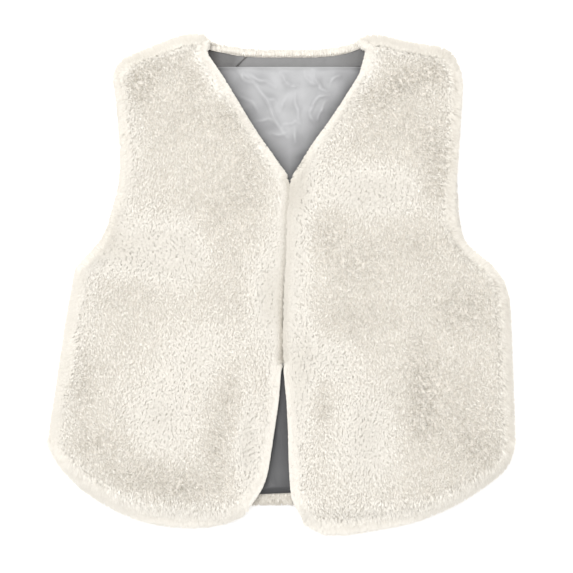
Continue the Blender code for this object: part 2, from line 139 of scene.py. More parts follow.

# Paler, smoother places of the laid pile, above 0 in tone, and darker, ruffled ones, below 0, where the pile
# is partly painted darker, as shade
Patch = namedtuple("Patch", "across height half_width half_height tone")
PATCHES = [
    Patch(-0.117, 0.169, 0.010, 0.015, -1.1),
    Patch(-0.100, 0.184, 0.011, 0.007, -0.4),
    Patch(-0.074, 0.176, 0.012, 0.013, -0.5),
    Patch(-0.043, 0.137, 0.009, 0.013, -0.6),
    Patch(-0.026, 0.106, 0.009, 0.018, -0.5),
    Patch(-0.080, 0.140, 0.034, 0.020, -0.3),
    Patch(-0.052, 0.050, 0.014, 0.034, -0.5),
    Patch(-0.028, 0.070, 0.010, 0.020, -0.4),
    Patch(-0.100, 0.027, 0.044, 0.021, 0.75),
    Patch(-0.066, -0.058, 0.026, 0.022, 0.4),
    Patch(-0.100, -0.112, 0.024, 0.030, 0.5),
    Patch(-0.012, -0.010, 0.010, 0.030, 0.6),
    Patch(-0.029, -0.132, 0.009, 0.034, 0.6),
    Patch(-0.135, -0.010, 0.020, 0.014, -0.3),
    Patch(-0.166, -0.088, 0.009, 0.028, -0.6),
    Patch(-0.154, -0.135, 0.020, 0.010, -0.5),
    Patch(-0.120, -0.160, 0.030, 0.010, -0.6),
    Patch(-0.082, -0.172, 0.022, 0.009, -0.7),
    Patch(-0.042, -0.095, 0.008, 0.022, -0.6),
    Patch(-0.054, -0.140, 0.008, 0.022, -0.6),
    Patch(0.102, 0.168, 0.013, 0.010, -1.0),
    Patch(0.127, 0.179, 0.011, 0.009, -1.2),
    Patch(0.077, 0.157, 0.014, 0.012, -0.6),
    Patch(0.100, 0.130, 0.034, 0.016, -0.4),
    Patch(0.130, 0.105, 0.012, 0.020, -0.8),
    Patch(0.129, 0.078, 0.009, 0.009, -0.6),
    Patch(0.078, 0.078, 0.042, 0.018, 0.6),
    Patch(0.018, 0.060, 0.008, 0.060, 0.4),
    Patch(0.041, 0.043, 0.015, 0.014, -0.55),
    Patch(0.066, 0.014, 0.021, 0.013, -0.5),
    Patch(0.062, -0.028, 0.025, 0.015, -0.45),
    Patch(0.112, 0.034, 0.022, 0.014, -0.5),
    Patch(0.152, -0.020, 0.022, 0.018, -0.7),
    Patch(0.118, -0.074, 0.011, 0.022, -0.8),
    Patch(0.119, -0.112, 0.011, 0.022, -0.6),
    Patch(0.156, -0.115, 0.024, 0.034, -0.45),
    Patch(0.168, -0.140, 0.012, 0.012, -0.5),
    Patch(0.020, -0.070, 0.010, 0.040, 0.5),
    Patch(0.045, -0.062, 0.014, 0.016, 0.4),
    Patch(0.070, -0.130, 0.022, 0.034, 0.5),
    Patch(0.034, -0.102, 0.008, 0.016, -0.5),
]

# The lining's creases, in millimetres: where each starts, bends and ends, half its width and its rise
Crease = namedtuple("Crease", "route half_width rise")
CREASES = [
    Crease([(-24.0, 171.0), (-12.9, 159.0), (-8.6, 148.0), (-4.0, 138.2), (4.5, 124.7)], 2.3, 1.7),
    Crease([(-28.5, 179.5), (-19.0, 173.5), (-12.0, 171.5), (-5.0, 167.8)], 2.1, 1.4),
    Crease([(-1.6, 181.2), (2.2, 174.5), (5.0, 170.3), (10.5, 167.8), (16.0, 167.2)], 2.0, 1.5),
    Crease([(-13.0, 158.8), (-8.0, 157.0), (-3.4, 154.4)], 1.9, 0.9),
    Crease([(10.3, 167.2), (12.8, 159.0), (12.0, 152.0), (15.0, 145.0), (15.8, 137.0)], 2.0, 1.0),
    Crease([(27.0, 181.5), (28.0, 174.5), (32.5, 169.0), (33.0, 165.5), (39.0, 164.0)], 1.9, 1.5),
    Crease([(40.5, 161.2), (33.0, 159.0), (26.2, 153.0), (24.0, 145.0), (27.5, 138.0)], 2.0, 1.4),
    Crease([(39.5, 156.0), (34.0, 150.0), (33.0, 144.0), (29.0, 139.0)], 1.9, 0.9),
    Crease([(20.0, 180.0), (21.5, 174.0), (26.0, 170.0), (30.0, 170.5)], 1.8, 0.9),
    Crease([(-37.5, 181.5), (-34.0, 177.5), (-31.0, 173.5), (-25.5, 170.5)], 2.2, 0.7),
    Crease([(-34.0, 180.5), (-28.0, 176.5), (-25.5, 174.0)], 1.6, 0.7),
    Crease([(-22.5, 138.5), (-13.0, 140.0), (-5.0, 138.5)], 2.2, 0.6),
    Crease([(0.0, 133.5), (4.5, 135.9), (11.3, 138.1), (16.0, 137.0)], 2.0, 0.8),
    Crease([(6.0, 160.0), (1.0, 153.0), (-1.0, 146.0)], 2.0, 0.8),
    Crease([(10.5, 132.5), (12.5, 126.0), (10.5, 119.0)], 2.2, 0.7),
    Crease([(-35.0, 161.0), (-25.0, 155.0), (-17.0, 145.0)], 2.8, 0.6),
    Crease([(-13.0, 129.0), (-2.0, 127.5), (7.0, 128.2)], 2.2, 0.5),
    Crease([(50.0, 178.0), (44.0, 174.0), (41.0, 169.0)], 2.0, 0.8),
    Crease([(-9.0, -95.0), (-2.0, -120.0), (-6.0, -145.0)], 4.0, 0.5),
    Crease([(-16.0, -164.0), (-4.0, -165.5), (7.0, -164.0)], 2.0, 0.6),
    Crease([(-13.0, -159.0), (-2.0, -160.0), (6.0, -158.5)], 2.2, 0.4),
]


def unit(vectors):
    """Vectors made 1 long."""
    return vectors / np.maximum(np.linalg.norm(vectors, axis=-1, keepdims=True), 1e-9)


def eased(low, high, value):
    """A smooth step from 0 at one mark to 1 at the other."""
    share = np.clip((value - low) / (high - low), 0, 1)
    return share**2 * (3 - 2 * share)


def band(start, full, fading, end, value):
    """From 0 up to 1 and down to 0 again, as a value passes four marks."""
    return eased(start, full, value) * (1 - eased(fading, end, value))


def trait(kind, settled, ruffled, edge):
    """One trait of the nap at each place, by how settled or ruffled it is and how near an edge."""
    value = kind.field + kind.settled * settled + kind.ruffled * ruffled + kind.edge * edge
    return np.clip(value, kind.least, kind.most)


def drift(place, wavelength, seed):
    """A slow, smooth wandering between about -1 and 1 over the plan."""
    dice = np.random.default_rng(seed)
    total = np.zeros(len(place))
    waves = 7
    for _ in range(waves):
        turn, start = dice.uniform(0, 2 * np.pi, 2)
        length = wavelength * dice.uniform(0.7, 1.6)
        along = place[:, 0] * np.cos(turn) + place[:, 1] * np.sin(turn)
        total += np.sin(2 * np.pi * along / length + start)
    return total / np.sqrt(waves)


class Solid:
    """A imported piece's skin: welded points, triangles and smooth normals."""

    def __init__(self, node):
        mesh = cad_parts[node].data
        mesh.calc_loop_triangles()
        points = np.empty((len(mesh.vertices), 3), np.float32)
        mesh.vertices.foreach_get("co", points.ravel())
        triangles = np.empty((len(mesh.loop_triangles), 3), np.int32)
        mesh.loop_triangles.foreach_get("vertices", triangles.ravel())
        weld = 0.01 * MM
        _, first, number = np.unique(np.round(points / weld), axis=0, return_index=True, return_inverse=True)
        self.points = points[first].astype(float)
        self.triangles = number.ravel()[triangles]
        a, b, c = self.points[self.triangles].transpose(1, 0, 2)
        facing = np.cross(b - a, c - a)
        self.areas = np.linalg.norm(facing, axis=1) / 2
        self.normals = np.zeros_like(self.points)
        for corner in self.triangles.T:
            np.add.at(self.normals, corner, facing)
        self.normals = unit(self.normals)

    def scattered(self, count, seed):
        """Random places all over the skin, with their normals."""
        dice = np.random.default_rng(seed)
        picked = dice.choice(len(self.areas), count, p=self.areas / self.areas.sum())
        share = dice.dirichlet((1, 1, 1), count)[..., None]
        corners = self.triangles[picked]
        return (self.points[corners] * share).sum(1), unit((self.normals[corners] * share).sum(1))

    def ceiling(self):
        """The skin as a tree that rays can be cast at."""
        return BVHTree.FromPolygons(self.points.tolist(), self.triangles.tolist())


class Outline:
    """A panel's edge seen from above: how far away it is, and which way."""

    def __init__(self, solid, seed):
        samples, steepest = 60000, 0.35
        place, normal = solid.scattered(samples, seed)
        self.rim = place[np.abs(normal[:, 2]) < steepest]
        self.tree = KDTree(len(self.rim))
        for number, (x, y, _) in enumerate(self.rim):
            self.tree.insert((x, y, 0), number)
        self.tree.balance()

    def nearest(self, place, normal):
        """Distances to the edge, and the ways to it, which on the edge itself are the ways it faces."""
        found = [self.tree.find((x, y, 0)) for x, y, _ in place]
        distance = np.array([hit[2] for hit in found])
        towards = self.rim[[hit[1] for hit in found]] - place + 3 * MM * normal
        towards[:, 2] = 0
        return distance, unit(towards)


def thinned(place, spacing, seed):
    """Which places stay when any that are closer together than the spacing are taken out in random order."""
    tree = KDTree(len(place))
    for number, point in enumerate(place):
        tree.insert(point, number)
    tree.balance()
    waiting = np.ones(len(place), bool)
    kept = []
    for number in np.random.default_rng(seed).permutation(len(place)):
        if not waiting[number]:
            continue
        kept.append(number)
        for _, near, _ in tree.find_range(place[number], spacing):
            waiting[near] = False
    return np.array(kept)


def tufts_on(solid, spacing, wanted, seed):
    """Evenly spread tuft places on the part of a skin that is wanted."""
    crowding, closest = 3.2, 0.84
    count = int(crowding * solid.areas.sum() / spacing**2)
    place, normal = solid.scattered(count, seed)
    chosen = wanted(place, normal)
    place, normal = place[chosen], normal[chosen]
    kept = thinned(place, spacing * closest, seed)
    return place[kept], normal[kept]


def patch_tone(place):
    """How settled, above 0, or how ruffled, below 0, the pile lies at each place."""
    tone = np.zeros(len(place))
    for patch in PATCHES:
        across = (place[:, 0] - patch.across) / patch.half_width
        along = (place[:, 1] - patch.height) / patch.half_height
        tone += patch.tone * np.exp(-0.7 * (across**2 + along**2))
    return tone


class Locks:
    """The small locks that a pile parts into, longer down the vest than across it."""

    def __init__(self, place, seed):
        stretched = place * LOCK_STRETCH
        middles = stretched[thinned(stretched, LOCK_SPACING, seed)]
        self.tree = KDTree(len(middles))
        for number, middle in enumerate(middles):
            self.tree.insert(middle, number)
        self.tree.balance()

    def crest(self, place):
        """From 0.2 over the middle of a lock to -0.7 in the parting between two, where the strands are
        painted darker as shade.
        """
        half_width, shift, flat_top = 0.62 * LOCK_SPACING, 0.3, 0.2
        away = np.array([self.tree.find(spot)[2] for spot in place * LOCK_STRETCH])
        return np.minimum(np.cos(np.pi * np.minimum(away / half_width, 1)) + shift, flat_top)


# How each tuft lies: how far it leans and how deep it stands, its strands' half width and tone, which holds
# random tone and painted light and shade, how pale the painted shade at its foot is, how its tips gather,
# how calmly it shades, how uneven in length and how speckled it is, how far it hangs past an edge, and the
# way it faces
Nap = namedtuple("Nap", "lean depth width tone foot gather calm uneven grain overhang facing")


def plush_strands(place, normal, nap, seed, strands=STRANDS_A_TUFT, fineness=1.0, locks=None):
    """Each tuft's strands: a corner at the root, two at the bend and one at the tip, with shading and tones.

    A calm tuft's strands shade as one surface that faces the given way, so that its pile looks smooth.
    """
    dice = np.random.default_rng(seed)
    shape = len(place), strands
    side = unit(np.cross(normal, [0.31, 0.27, 0.91]))
    other = np.cross(normal, side)
    turn = dice.uniform(0, 2 * np.pi, shape)
    reach = TUFT_ROOT_REACH * np.sqrt(dice.uniform(0.02, 1, shape))
    spread = np.cos(turn)[..., None] * side[:, None] + np.sin(turn)[..., None] * other[:, None]
    spread *= reach[..., None]
    calm = np.clip(nap.calm, 0, 1)[:, None, None]
    lost = dice.uniform(0, 1, (*shape, 1)) * nap.uneven[:, None, None]
    place, normal, lean = place[:, None], normal[:, None], nap.lean[:, None]
    depth, gather = nap.depth[:, None, None], nap.gather[:, None, None]
    stray = np.clip(dice.normal(0, TIP_STRAY, (*shape, 3)), -FARTHEST_STRAY, FARTHEST_STRAY)
    stray *= 1 - 0.6 * calm
    stray += nap.overhang[:, None] * dice.uniform(0, 1, (*shape, 1))
    root = place - normal * depth - lean + spread
    tip = place + spread * (1 - gather) + stray - (normal * depth + lean) * lost
    bend = root + normal * depth * BEND_RISE + lean * BEND_LEAN + spread * 0.15 + stray * 0.4
    along = unit(tip - bend)
    roll = TUFT_ROLL * dice.normal(0, 1, (len(place), 1, 3)) + STRAND_ROLL * dice.normal(0, 1, (*shape, 3))
    flat = unit(np.cross(along, nap.facing[:, None] + roll * (1 - 0.8 * calm)))
    own = np.cross(flat, along)
    flat = np.where((own * nap.facing[:, None]).sum(-1, keepdims=True) < 0, -flat, flat)
    width = fineness * nap.width[:, None, None] * dice.uniform(0.75, 1.3, shape)[..., None]
    corners = np.stack([root, bend - flat * width, bend + flat * width, tip], 2)
    corners[..., 2] = np.maximum(corners[..., 2], GROUND_CLEARANCE)
    own = np.cross(flat, along)
    calm = 0.85 * calm * np.clip(own[..., 2:] * 4, 0, 1)
    shading = unit(own * (1 - calm) + nap.facing[:, None] * calm)
    turned = np.maximum(0.3 - (shading * own).sum(-1, keepdims=True), 0)
    shading = unit(shading + own * turned)
    speckle = dice.normal(0, 1, shape)
    if locks:
        # Painted shade in the partings between locks, over the strands' random tone
        speckle = 0.65 * speckle + LOCK_CONTRAST * locks.crest(tip.reshape(-1, 3)).reshape(shape)
    tones = nap.tone[:, None] + speckle * nap.grain[:, None]
    tones = np.clip((tones - DARKEST_TONE) / (1 - DARKEST_TONE), 0.01, 0.99)
    feet = np.broadcast_to(np.clip(nap.foot, 0, 0.9)[:, None], shape)
    return corners.reshape(-1, 4, 3), shading.reshape(-1, 3), np.stack([tones, feet], -1).reshape(-1, 2)


def together(*groups):
    """Groups of strands joined into one."""
    return tuple(np.concatenate(same) for same in zip(*groups))


def plush_mesh(name, corners, shading, looks):
    """Joined leaf-shaped strands, whose bake map holds tone across and height up the pile."""
    count = len(corners)
    index = (np.arange(count)[:, None] * 4 + np.array([0, 2, 1, 1, 2, 3])).ravel()
    mesh = bpy.data.meshes.new(name)
    mesh.vertices.add(count * 4)
    mesh.vertices.foreach_set("co", corners.astype(np.float32).ravel())
    mesh.loops.add(len(index))
    mesh.loops.foreach_set("vertex_index", index.astype(np.int32))
    mesh.polygons.add(count * 2)
    mesh.polygons.foreach_set("loop_start", np.arange(0, len(index), 3, dtype=np.int32))
    mesh.update(calc_edges=True)
    shift = np.array([0, -0.004, 0.004, 0])
    rise = np.array([0.02, 0.60, 0.60, 0.98])
    tones, feet = looks[:, :1], looks[:, 1:]
    plan = np.stack([tones + shift, feet + (1 - feet) * rise], -1).reshape(-1, 2)
    bake_map = mesh.uv_layers.new(name="OFBake")
    bake_map.data.foreach_set("uv", plan[index].astype(np.float32).ravel())
    mesh.shade_smooth()
    mesh.normals_split_custom_set_from_vertices(np.repeat(shading, 4, axis=0))
    return mesh


class Number:
    """A number that a finish works out over a surface; sums with it add Math nodes."""

    def __init__(self, finish, socket):
        self.finish, self.socket = finish, socket

    def with_other(self, operation, first, second):
        return self.finish.number("ShaderNodeMath", {"operation": operation}, {0: first, 1: second})

    def __add__(self, other):
        return self.with_other("ADD", self, other)

    def __radd__(self, other):
        return self.with_other("ADD", other, self)

    def __sub__(self, other):
        return self.with_other("SUBTRACT", self, other)

    def __mul__(self, other):
        return self.with_other("MULTIPLY", self, other)


class Finish:
    """A node material, built by one method that adds any node."""

    def __init__(self, name, roughness, **constants):
        self.material = bpy.data.materials.new(name)
        self.material.use_nodes = True
        self.tree = self.material.node_tree
        self.shader = self.tree.nodes["Principled BSDF"]
        self.shader.inputs["Roughness"].default_value = roughness
        for socket, value in constants.items():
            self.shader.inputs[socket.replace("_", " ")].default_value = value

    def node(self, kind, settings, inputs):
        added = self.tree.nodes.new(kind)
        for setting, value in settings.items():
            setattr(added, setting, value)
        for socket, value in inputs.items():
            self.feed(added.inputs[socket], value)
        return added

    def feed(self, socket, value):
        value = value.socket if isinstance(value, Number) else value
        if isinstance(value, bpy.types.NodeSocket):
            self.tree.links.new(value, socket)
        else:
            socket.default_value = value

    def number(self, kind, settings, inputs, output=0):
        return Number(self, self.node(kind, settings, inputs).outputs[output])

    def noise(self, place, scale, detail=2.0, roughness=0.5):
        inputs = {"Vector": place, "Scale": scale, "Detail": detail, "Roughness": roughness}
        return self.number("ShaderNodeTexNoise", {}, inputs)

    def blend(self, share, first, second):
        """A colour between two, by a share from 0 to 1."""
        added = self.node("ShaderNodeMix", {"data_type": "RGBA"}, {0: share, 6: first, 7: second})
        return added.outputs[2]

    def colour(self, value):
        self.feed(self.shader.inputs["Base Color"], value)

    def relief(self, height, distance):
        bump = self.node("ShaderNodeBump", {}, {"Height": height, "Distance": distance})
        self.feed(self.shader.inputs["Normal"], bump.outputs[0])


def shade(red, green, blue):
    return red, green, blue, 1.0


def plush_finish():
    """Cream pile: warm and darker towards its roots as painted shade deep in the pile, pale at its tips,
    lighter or darker strand by strand, at random and by painted light and shade.
    """
    # The root colour is painted shade deep in the pile; the shaded and lit colours are painted shade and
    # painted light, between which a strand's tone picks
    root, tip = shade(0.63, 0.582, 0.505), shade(0.968, 0.941, 0.883)
    shaded, lit = shade(0.405, 0.37, 0.309), shade(1.0, 1.0, 1.0)
    finish = Finish("cream plush pile", 0.62, Specular_IOR_Level=0.25, Sheen_Weight=0.15)
    bake_map = finish.node("ShaderNodeUVMap", {"uv_map": "OFBake"}, {}).outputs[0]
    split = finish.node("ShaderNodeSeparateXYZ", {}, {0: bake_map})
    tone, height = Number(finish, split.outputs[0]), Number(finish, split.outputs[1])
    pile, light = finish.blend(height, root, tip), finish.blend(tone, shaded, lit)
    settings = {"data_type": "RGBA", "blend_type": "MULTIPLY"}
    finish.colour(finish.node("ShaderNodeMix", settings, {0: 1.0, 6: pile, 7: light}).outputs[2])
    return finish.material


def backing_finish():
    """The knitted ground of the plush with the dense foot of its pile, painted darker in a tufted pattern as
    the shade between its tufts.
    """
    # The gap colour is painted shade between the tufts
    gap, foot = shade(0.76, 0.71, 0.63), shade(0.94, 0.90, 0.84)
    finish = Finish("plush backing", 0.9, Specular_IOR_Level=0.15)
    place = finish.node("ShaderNodeTexCoord", {}, {}).outputs["Object"]
    tufted = finish.noise(place, 520.0, 3.0, 0.65)
    clouded = finish.noise(place, 60.0)
    share = tufted * 0.7 + clouded * 0.3
    finish.colour(finish.blend(share, gap, foot))
    finish.relief(tufted, 1.2 * MM)
    return finish.material


def satin_finish(name, pale, dark):
    """Woven satin: a fine slanting weave and a soft, varied gloss, painted paler where it lies open to the
    light and darker in painted shade, as its sheet's painted light and shade says.
    """
    finish = Finish(name, 0.4, Specular_IOR_Level=0.35, Sheen_Weight=0.03)
    coordinates = finish.node("ShaderNodeTexCoord", {}, {}).outputs["Object"]
    painted_light_and_shade = finish.number("ShaderNodeAttribute", {"attribute_name": "painted_light_and_shade"}, {}, "Fac")
    slant = 0, 0, 0.6
    slanted = finish.node("ShaderNodeMapping", {}, {0: coordinates, "Rotation": slant}).outputs[0]
    threads = {"Vector": slanted, "Scale": 900.0, "Distortion": 1.5, "Detail": 2.0}
    weave = finish.number("ShaderNodeTexWave", {}, threads)
    clouded = finish.noise(coordinates, 45.0, 3.0)
    share = painted_light_and_shade * (0.92 + clouded * 0.16) - weave * 0.04
    # The dark and pale satin colours are painted shade and painted light, picked between by the sheet's
    # painted light and shade
    finish.colour(finish.blend(share, dark, pale))
    gloss = 0.30 + clouded * 0.16 + weave * 0.05
    finish.feed(finish.shader.inputs["Roughness"], gloss)
    finish.relief(weave * 0.25 + clouded, 0.12 * MM)
    return finish.material


def floor_finish():
    """A matt white sheet that glows a little, so that it stays plain white."""
    finish = Finish("white studio floor", 0.8, Specular_IOR_Level=0.2)
    place = finish.node("ShaderNodeTexCoord", {}, {}).outputs["Object"]
    finish.colour(finish.blend(finish.noise(place, 3.0), shade(0.93, 0.93, 0.93), shade(0.96, 0.96, 0.96)))
    finish.shader.inputs["Emission Color"].default_value = (1, 1, 1, 1)
    finish.shader.inputs["Emission Strength"].default_value = 0.25
    return finish.material


def new_piece(name, mesh, material):
    """A piece that rides on the vest's one body and takes the finish of a slot."""
    mesh.materials.append(material)
    piece = bpy.data.objects.new(name, mesh)
    bpy.context.scene.collection.objects.link(piece)
    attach(piece, BODY)
    return piece


def meeting_share(place, distance, reach):
    """From 0 to 1 where the two fronts meet at the centre, by how near their edge is."""
    height, centre = place[:, 1], np.abs(place[:, 0]) < 0.03
    share = eased(*MEETING_LOW, height) * (1 - eased(*MEETING_HIGH, height)) * centre
    return share * np.exp(-((distance / reach) ** 2))


def backing_shell(node, solid, outline, material):
    """The plush's ground: the panel's own form, drawn in by most of the pile on its furred side."""
    mesh = bpy.data.meshes.new(node)
    outward = solid.normals[:, 2]
    furred = eased(-0.9, -0.2, outward) if node != "back_panel" else 1 - eased(0.5, 0.9, outward) * 0.7
    deep = HIDDEN_BACKING_DEPTH + (BACKING_DEPTH - HIDDEN_BACKING_DEPTH) * furred
    if node == "back_panel":
        deep = np.minimum(deep, ROLL_BACKING_DEPTH)
        deep = np.where(outward < -0.8, UNDERSIDE_DEPTH, deep)
    else:
        distance, _ = outline.nearest(solid.points, solid.normals)
        deep *= 1 - 0.75 * meeting_share(solid.points, distance, 8 * MM)
    points = solid.points - solid.normals * deep[:, None]
    mesh.from_pydata(points.tolist(), [], solid.triangles.tolist())
    mesh.shade_smooth()
    piece = new_piece(f"{node}_backing", mesh, material)
    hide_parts(node)
    return piece


def split_pile(name, strands, parts, material):
    """Joins strands into pieces of like size, from the neck down."""
    order = np.argsort(-strands[0][:, 3, 1], kind="stable")
    pieces = []
    for number, chosen in enumerate(np.array_split(order, parts)):
        mesh = plush_mesh(name, *(rows[chosen] for rows in strands))
        pieces.append(new_piece(f"{name}_{number + 1}", mesh, material))
    return pieces


def combed(place, normal, distance, towards, outward, raised, tousled, seed):
    """Which way the pile leans at each place: down the vest, and raised or out and over near an edge."""
    dice = np.random.default_rng(seed)
    turn = 0.30 * drift(place, 70 * MM, seed + 1) + 0.10 * drift(place, 20 * MM, seed + 2)
    turn += tousled * dice.normal(0, 1, len(place))
    lean = np.stack([np.sin(turn), -np.cos(turn), np.full(len(place), -0.2)], 1)
    near = np.exp(-((distance / EDGE_NAP) ** 2))[:, None]
    outward, raised = outward[:, None], np.maximum(outward, raised)[:, None]
    lean = lean * (1 - near * raised) + near * (towards * outward * 0.8 + [0, 0, -0.8])
    lean -= normal * (lean * normal).sum(1, keepdims=True)
    length = np.linalg.norm(lean, axis=1, keepdims=True)
    return lean / np.maximum(length, 0.05) * np.clip(length, 0.35, 1.2)


def against_the_comb(towards):
    """From 0 to 0.85 where an edge faces up the vest, so that the pile stands up there."""
    return 0.85 * eased(-0.1, 0.7, towards[:, 1])


def rim_tone(place, normal, towards):
    """How much darker or paler a front's edge is painted than its field, by which way the edge faces:
    painted shade on its upper faces and painted light on its walls, which even out how brightly the lamps
    light each edge.
    """
    lid = np.clip(normal[:, 2], 0, 1)
    across, along, height = towards[:, 0], towards[:, 1], place[:, 1]
    low = 1 - eased(*LOW_EDGES, height)
    # Painted shade on the edges' upper faces and painted light on their walls, set by which way each edge
    # faces
    darker = 0.64 * eased(0.3, 0.9, along) * eased(*TOP_EDGES, height)
    darker += (0.28 + 0.22 * low) * eased(0.3, 0.9, across) * (place[:, 0] > 0.1)
    darker += 0.12 * eased(0.3, 0.9, -across) * (place[:, 0] < -0.1)
    darker += 0.10 * eased(0.1, 0.8, -along)
    paler = 0.28 * eased(0.1, 0.8, -along) + 0.22 * low * eased(0.3, 0.9, np.abs(across))
    return paler * (1 - lid) - darker * lid


class FrontEdge:
    """The edge nearest to each tuft of a front: how far off it is, which way, and which stretch of it."""

    def __init__(self, place, normal, outline, right):
        self.distance, self.towards = outline.nearest(place, normal)
        self.right, self.height, self.aside = right, place[:, 1], np.abs(place[:, 0])
        self.inward = self.towards[:, 0] if right else -self.towards[:, 0]
        self.upward = self.towards[:, 1]
        self.central = (self.aside < 0.045) & (self.inward > 0.6)
        self.neckline = eased(*NECKLINE_FOOT, self.height) * eased(0.1, 0.5, self.inward)
        self.raised = against_the_comb(self.towards)
        self.near = np.exp(-((self.distance / (EDGE_NAP * (1 + self.wider()))) ** EDGE_FADE))

    def wider(self):
        """By what share the combed edge is wider, as at the shoulders, or narrower, as at the hem."""
        wider = 0.6 * eased(*SHOULDERS, self.height) * eased(0.2, 0.7, self.upward)
        if not self.right:
            wider += 0.6 * self.neckline + 0.3 * self.central * (1 - self.neckline)
        low_side = (1 - eased(*LOW_SIDES, self.height)) * eased(0.03, 0.14, self.aside)
        wider += (0.1 if self.right else -0.45) * low_side - 0.3 * eased(0.2, 0.8, -self.upward)
        return wider + 0.55 * eased(0.3, 0.9, -self.inward) * self.right

    def overhang(self):
        """How far past the edge the tips reach: well past the sides, less at the centre and neckline."""
        reach = EDGE_OVERHANG + TOP_EDGE_OVERHANG * eased(0.3, 0.8, self.upward)
        reach = np.where(self.central, 0, reach)
        if self.right:
            reach += 2.6 * MM * self.central * band(*GAP_NARROWED, self.height)
        else:
            reach -= 0.9 * MM * self.central * band(*GAP_WIDENED, self.height)
        held_back, cut_back = (-0.6 * MM, 1.6 * MM) if self.right else (-1.3 * MM, 3.6 * MM)
        reach += (held_back - reach) * self.neckline
        reach -= cut_back * band(*NECKLINE_CORNER, self.height) * eased(0.3, 0.7, self.inward)
        reach += 3.2 * MM * eased(*NECKLINE_END, self.height) * eased(0.1, 0.3, self.inward)
        return self.towards * (reach * np.exp(-((self.distance / OVERHANG_FADE) ** 2)))[:, None]


def closed_over(place, normal, edge):
    """The pile where the fronts meet, lifted over the groove and turned up; the right front's lies lower."""
    meeting = meeting_share(place, edge.distance, 5.5 * MM)
    step, drop = 0, 0
    if edge.right:
        step = BRIDGE_STEP * (1 + 2 * (1 - eased(-0.06, 0.03, edge.height)))
        drop = 0.7 * (1 - eased(-0.06, 0.02, edge.height)) * np.exp(-((edge.distance / (1.8 * MM)) ** 2))
    lift = np.maximum(BRIDGE_HEIGHT - step - place[:, 2], 0) * meeting * (1 - drop)
    turned = 0.85 * meeting[:, None]
    return place + lift[:, None] * UP, unit(normal * (1 - turned) + UP * turned), meeting


def front_tone(place, normal, edge, smooth, ruffled, meeting):
    """How pale a front's pile is, by how it lies and near its edges, their partings and the seam: painted
    shade where it is ruffled and in the seam, and where calm pile would shade too brightly, and painted
    light and shade by which way an edge faces.
    """
    # Painted shade: darker where the pile is ruffled, and darker where settled, edge and meeting pile is
    # shaded calmly and so too brightly
    tone = 0.90 - 0.60 * smooth - 0.10 * ruffled - 0.41 * edge.near - 0.10 * meeting
    parting = np.exp(-(((edge.distance - 8.5 * MM) / (3.5 * MM)) ** 2))
    beyond = 1 - eased(14 * MM, 22 * MM, edge.distance)
    tone += edge.raised * eased(*SHOULDERS, edge.height) * (0.30 * parting + 0.15 * beyond)
    tone += rim_tone(place, normal, edge.towards) * edge.near
    # Painted shadow in the seam where the fronts meet, deepest low down and on the right front
    seam = meeting_share(place, edge.distance, 3.4 * MM)
    seam *= 0.35 + 0.65 * (1 - eased(-0.07, 0.02, edge.height))
    return tone - (0.85 if edge.right else 0.2) * seam


def front_pile(node, solid, outline, material, seed):
    """A front's fur: combed down, ruffled in places, smooth at the edges, and closed over at the centre."""
    right = node == "front_right"
    place, normal = tufts_on(solid, TUFT_SPACING, lambda place, normal: normal[:, 2] > -0.35, seed)
    edge = FrontEdge(place, normal, outline, right)
    near, raised = edge.near, edge.raised
    patches = patch_tone(place)
    smooth, rough = np.clip(1.9 * patches, 0, 1), np.clip(-1.5 * patches, 0, 1.5)
    settled, ruffled = np.minimum(1.5 * smooth, 1), np.clip(-patches, 0, 1.3)
    place, normal, meeting = closed_over(place, normal, edge)

    outward, tousled = 0.15 + edge.neckline * (0.65 if right else 0.25), 0.28 + 0.55 * rough
    lean = combed(place, normal, edge.distance, edge.towards, outward, raised, tousled, seed) * PILE_LEAN
    unlike = 0.12 * np.random.default_rng(seed).normal(0, 1, len(place))
    parted = raised * (1 - eased(10 * MM, 16 * MM, edge.distance))
    nap = Nap(
        lean=lean * (trait(LEAN, smooth, rough, near) + unlike)[:, None],
        depth=PILE_DEPTH * trait(DEPTH, smooth, rough, near),
        width=STRAND_HALF_WIDTH * trait(WIDTH, smooth, rough, near),
        tone=front_tone(place, normal, edge, smooth, ruffled, meeting),
        foot=trait(FOOT, smooth, rough, near) + np.maximum(0.24 * near, 0.6 * parted),
        gather=trait(GATHER, settled, rough, near),
        calm=trait(CALM, smooth, rough, near),
        uneven=trait(UNEVEN, settled, rough, near),
        grain=trait(GRAIN, settled, rough, near),
        overhang=edge.overhang(),
        facing=unit(normal * (1 - 0.8 * near[:, None]) + UP * near[:, None]),
    )
    locks = Locks(place, seed)
    field = plush_strands(place, normal, nap, seed, locks=locks)
    fringed = edge.distance < FRINGE + RAISED_FRINGE * raised
    nap = Nap(*(value[fringed] for value in nap))
    fringe = plush_strands(
        place[fringed], normal[fringed], nap, seed + 5, fineness=FRINGE_FINENESS, locks=locks)
    return split_pile(f"{node}_pile", together(field, fringe), 2, material)


def even_nap(place, lean, width, tone, overhang, facing, **traits):
    """A nap whose other traits are the same all over."""
    same = {name: np.full(len(place), value) for name, value in traits.items()}
    return Nap(lean=lean, width=width, tone=tone, overhang=overhang, facing=facing, **same)


